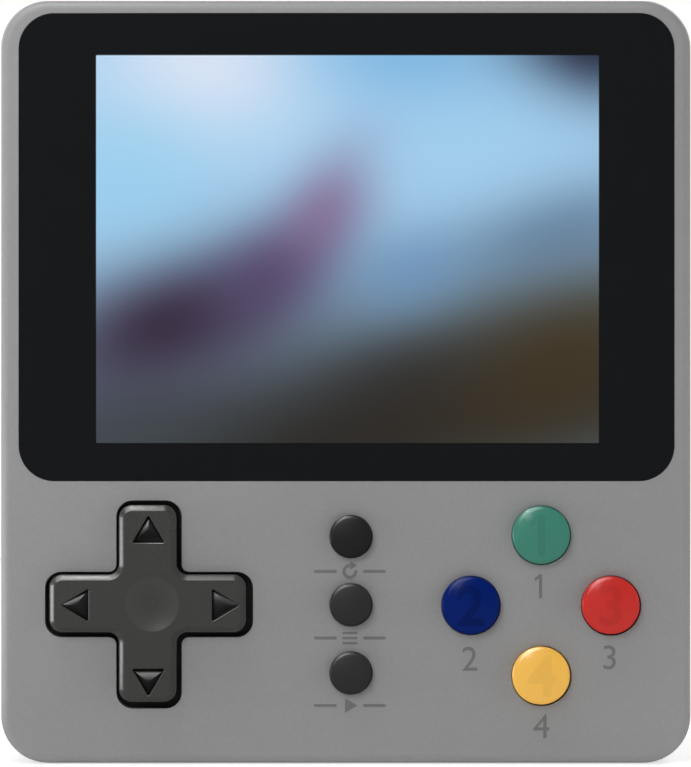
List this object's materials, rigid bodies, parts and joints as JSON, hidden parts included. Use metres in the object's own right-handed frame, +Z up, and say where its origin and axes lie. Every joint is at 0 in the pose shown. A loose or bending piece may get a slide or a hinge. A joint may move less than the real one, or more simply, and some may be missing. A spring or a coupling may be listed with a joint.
{
  "type": "handheld game console",
  "caption": "Pocket game console: a grey two-shell case with a screen over a direction pad, colour buttons, small menu buttons, and a sliding battery door.",
  "frame": {"origin": "centre of the bounding box at the height of the bottom face, where the console stands upright", "axes": "+Z up the case from the controls to the screen, the screen faces -Y, +X towards the player's right"},
  "size_m": [0.076, 0.018, 0.084],
  "materials": {
    "case_grey": "fine matt texture",
    "lens_glass": "gloss, printed black round a clear window",
    "black_film": "matt",
    "foam": "closed foam",
    "screen_picture": "lit display",
    "steel_sheet": "bare sheet",
    "amber_film": "polyimide film",
    "ivory_plastic": "matt",
    "board_green": "solder mask",
    "gold_contact": "gold plated",
    "chip_black": "moulded epoxy",
    "component_grey": "ceramic",
    "dpad_black": "satin",
    "button_green": "satin gloss",
    "button_blue": "satin gloss",
    "button_red": "satin gloss",
    "button_yellow": "satin gloss",
    "menu_black": "satin",
    "silicone": "silicone rubber",
    "carbon": "carbon-loaded rubber",
    "battery_wrap": "printed wrap, plain",
    "cloth_black": "fine mesh",
    "magnet_steel": "plated",
    "cone_paper": "paper cone",
    "wire_red": "insulated",
    "screw_steel": "black zinc",
    "jack_black": "moulded"
  },
  "bodies": {
    "case": {"action_contacts": "carbon", "action_membrane": "silicone", "av_jack": "jack_black", "battery_pack": "battery_wrap", "battery_socket": "chip_black", "battery_springs": "gold_contact", "battery_terminals": "gold_contact", "board_components": "component_grey", "board_key_pads": "gold_contact", "board_screws": "screw_steel", "case_screws": "screw_steel", "charging_socket": "steel_sheet", "charging_tongue": "chip_black", "dpad_contacts": "carbon", "dpad_membrane": "silicone", "dpad_pivot_seat": "ivory_plastic", "front_shell": "case_grey", "lcd_backlight": "steel_sheet", "lcd_connector": "ivory_plastic", "lcd_flex": "amber_film", "lcd_glass": "screen_picture", "lens_adhesive": "black_film", "main_board": "board_green", "memory_chip": "chip_black", "menu_contacts": "carbon", "menu_membrane": "silicone", "power_switch_body": "steel_sheet", "processor_chip": "chip_black", "rear_shell": "case_grey", "screen_gasket": "foam", "screen_lens": "lens_glass", "speaker_basket": "steel_sheet", "speaker_cloth": "cloth_black", "speaker_cone": "cone_paper", "speaker_magnet": "magnet_steel", "speaker_wires": "wire_red", "volume_pot": "steel_sheet", "volume_screw": "screw_steel"},
    "battery_door": {"battery_door": "case_grey"},
    "power_switch_knob": {"power_switch_knob": "menu_black"},
    "volume_wheel": {"volume_wheel": "menu_black"},
    "dpad_pivot_ball": {"dpad_pivot_ball": "ivory_plastic"},
    "dpad": {"dpad": "dpad_black"},
    "green_button": {"green_button": "button_green"},
    "blue_button": {"blue_button": "button_blue"},
    "red_button": {"red_button": "button_red"},
    "yellow_button": {"yellow_button": "button_yellow"},
    "reset_button": {"reset_button": "menu_black"},
    "select_button": {"select_button": "menu_black"},
    "start_button": {"start_button": "menu_black"}
  },
  "joints": [
    {"name": "battery_door_slide", "type": "slide", "parent": "case", "child": "battery_door", "axis": [0, 0, 1], "range_m": [0, 0.04]},
    {"name": "power_switch_slide", "type": "slide", "parent": "case", "child": "power_switch_knob", "axis": [0, 0, 1], "range_m": [0, 0.0022]},
    {"name": "volume_wheel_turn", "type": "hinge", "parent": "case", "child": "volume_wheel", "pos_m": [0.0309, 0.0014, 0.0329], "axis": [0, 1, 0], "range_deg": [0, 270]},
    {"name": "dpad_tilt_up_down", "type": "hinge", "parent": "case", "child": "dpad_pivot_ball", "pos_m": [-0.02165, -0.004, 0.0175], "axis": [1, 0, 0], "range_deg": [-3, 3], "stiffness_Nm_per_rad": 0.2, "deforming": ["dpad_membrane"]},
    {"name": "dpad_tilt_left_right", "type": "hinge", "parent": "dpad_pivot_ball", "child": "dpad", "pos_m": [-0.02165, -0.004, 0.0175], "axis": [0, 0, 1], "range_deg": [-3, 3], "stiffness_Nm_per_rad": 0.2, "deforming": ["dpad_membrane"]},
    {"name": "green_button_press", "type": "slide", "parent": "case", "child": "green_button", "axis": [0, 1, 0], "range_m": [0, 0.0009], "stiffness_N_per_m": 1300, "deforming": ["action_membrane"]},
    {"name": "blue_button_press", "type": "slide", "parent": "case", "child": "blue_button", "axis": [0, 1, 0], "range_m": [0, 0.0009], "stiffness_N_per_m": 1300, "deforming": ["action_membrane"]},
    {"name": "red_button_press", "type": "slide", "parent": "case", "child": "red_button", "axis": [0, 1, 0], "range_m": [0, 0.0009], "stiffness_N_per_m": 1300, "deforming": ["action_membrane"]},
    {"name": "yellow_button_press", "type": "slide", "parent": "case", "child": "yellow_button", "axis": [0, 1, 0], "range_m": [0, 0.0009], "stiffness_N_per_m": 1300, "deforming": ["action_membrane"]},
    {"name": "reset_button_press", "type": "slide", "parent": "case", "child": "reset_button", "axis": [0, 1, 0], "range_m": [0, 0.0009], "stiffness_N_per_m": 1300, "deforming": ["menu_membrane"]},
    {"name": "select_button_press", "type": "slide", "parent": "case", "child": "select_button", "axis": [0, 1, 0], "range_m": [0, 0.0009], "stiffness_N_per_m": 1300, "deforming": ["menu_membrane"]},
    {"name": "start_button_press", "type": "slide", "parent": "case", "child": "start_button", "axis": [0, 1, 0], "range_m": [0, 0.0009], "stiffness_N_per_m": 1300, "deforming": ["menu_membrane"]}
  ]
}
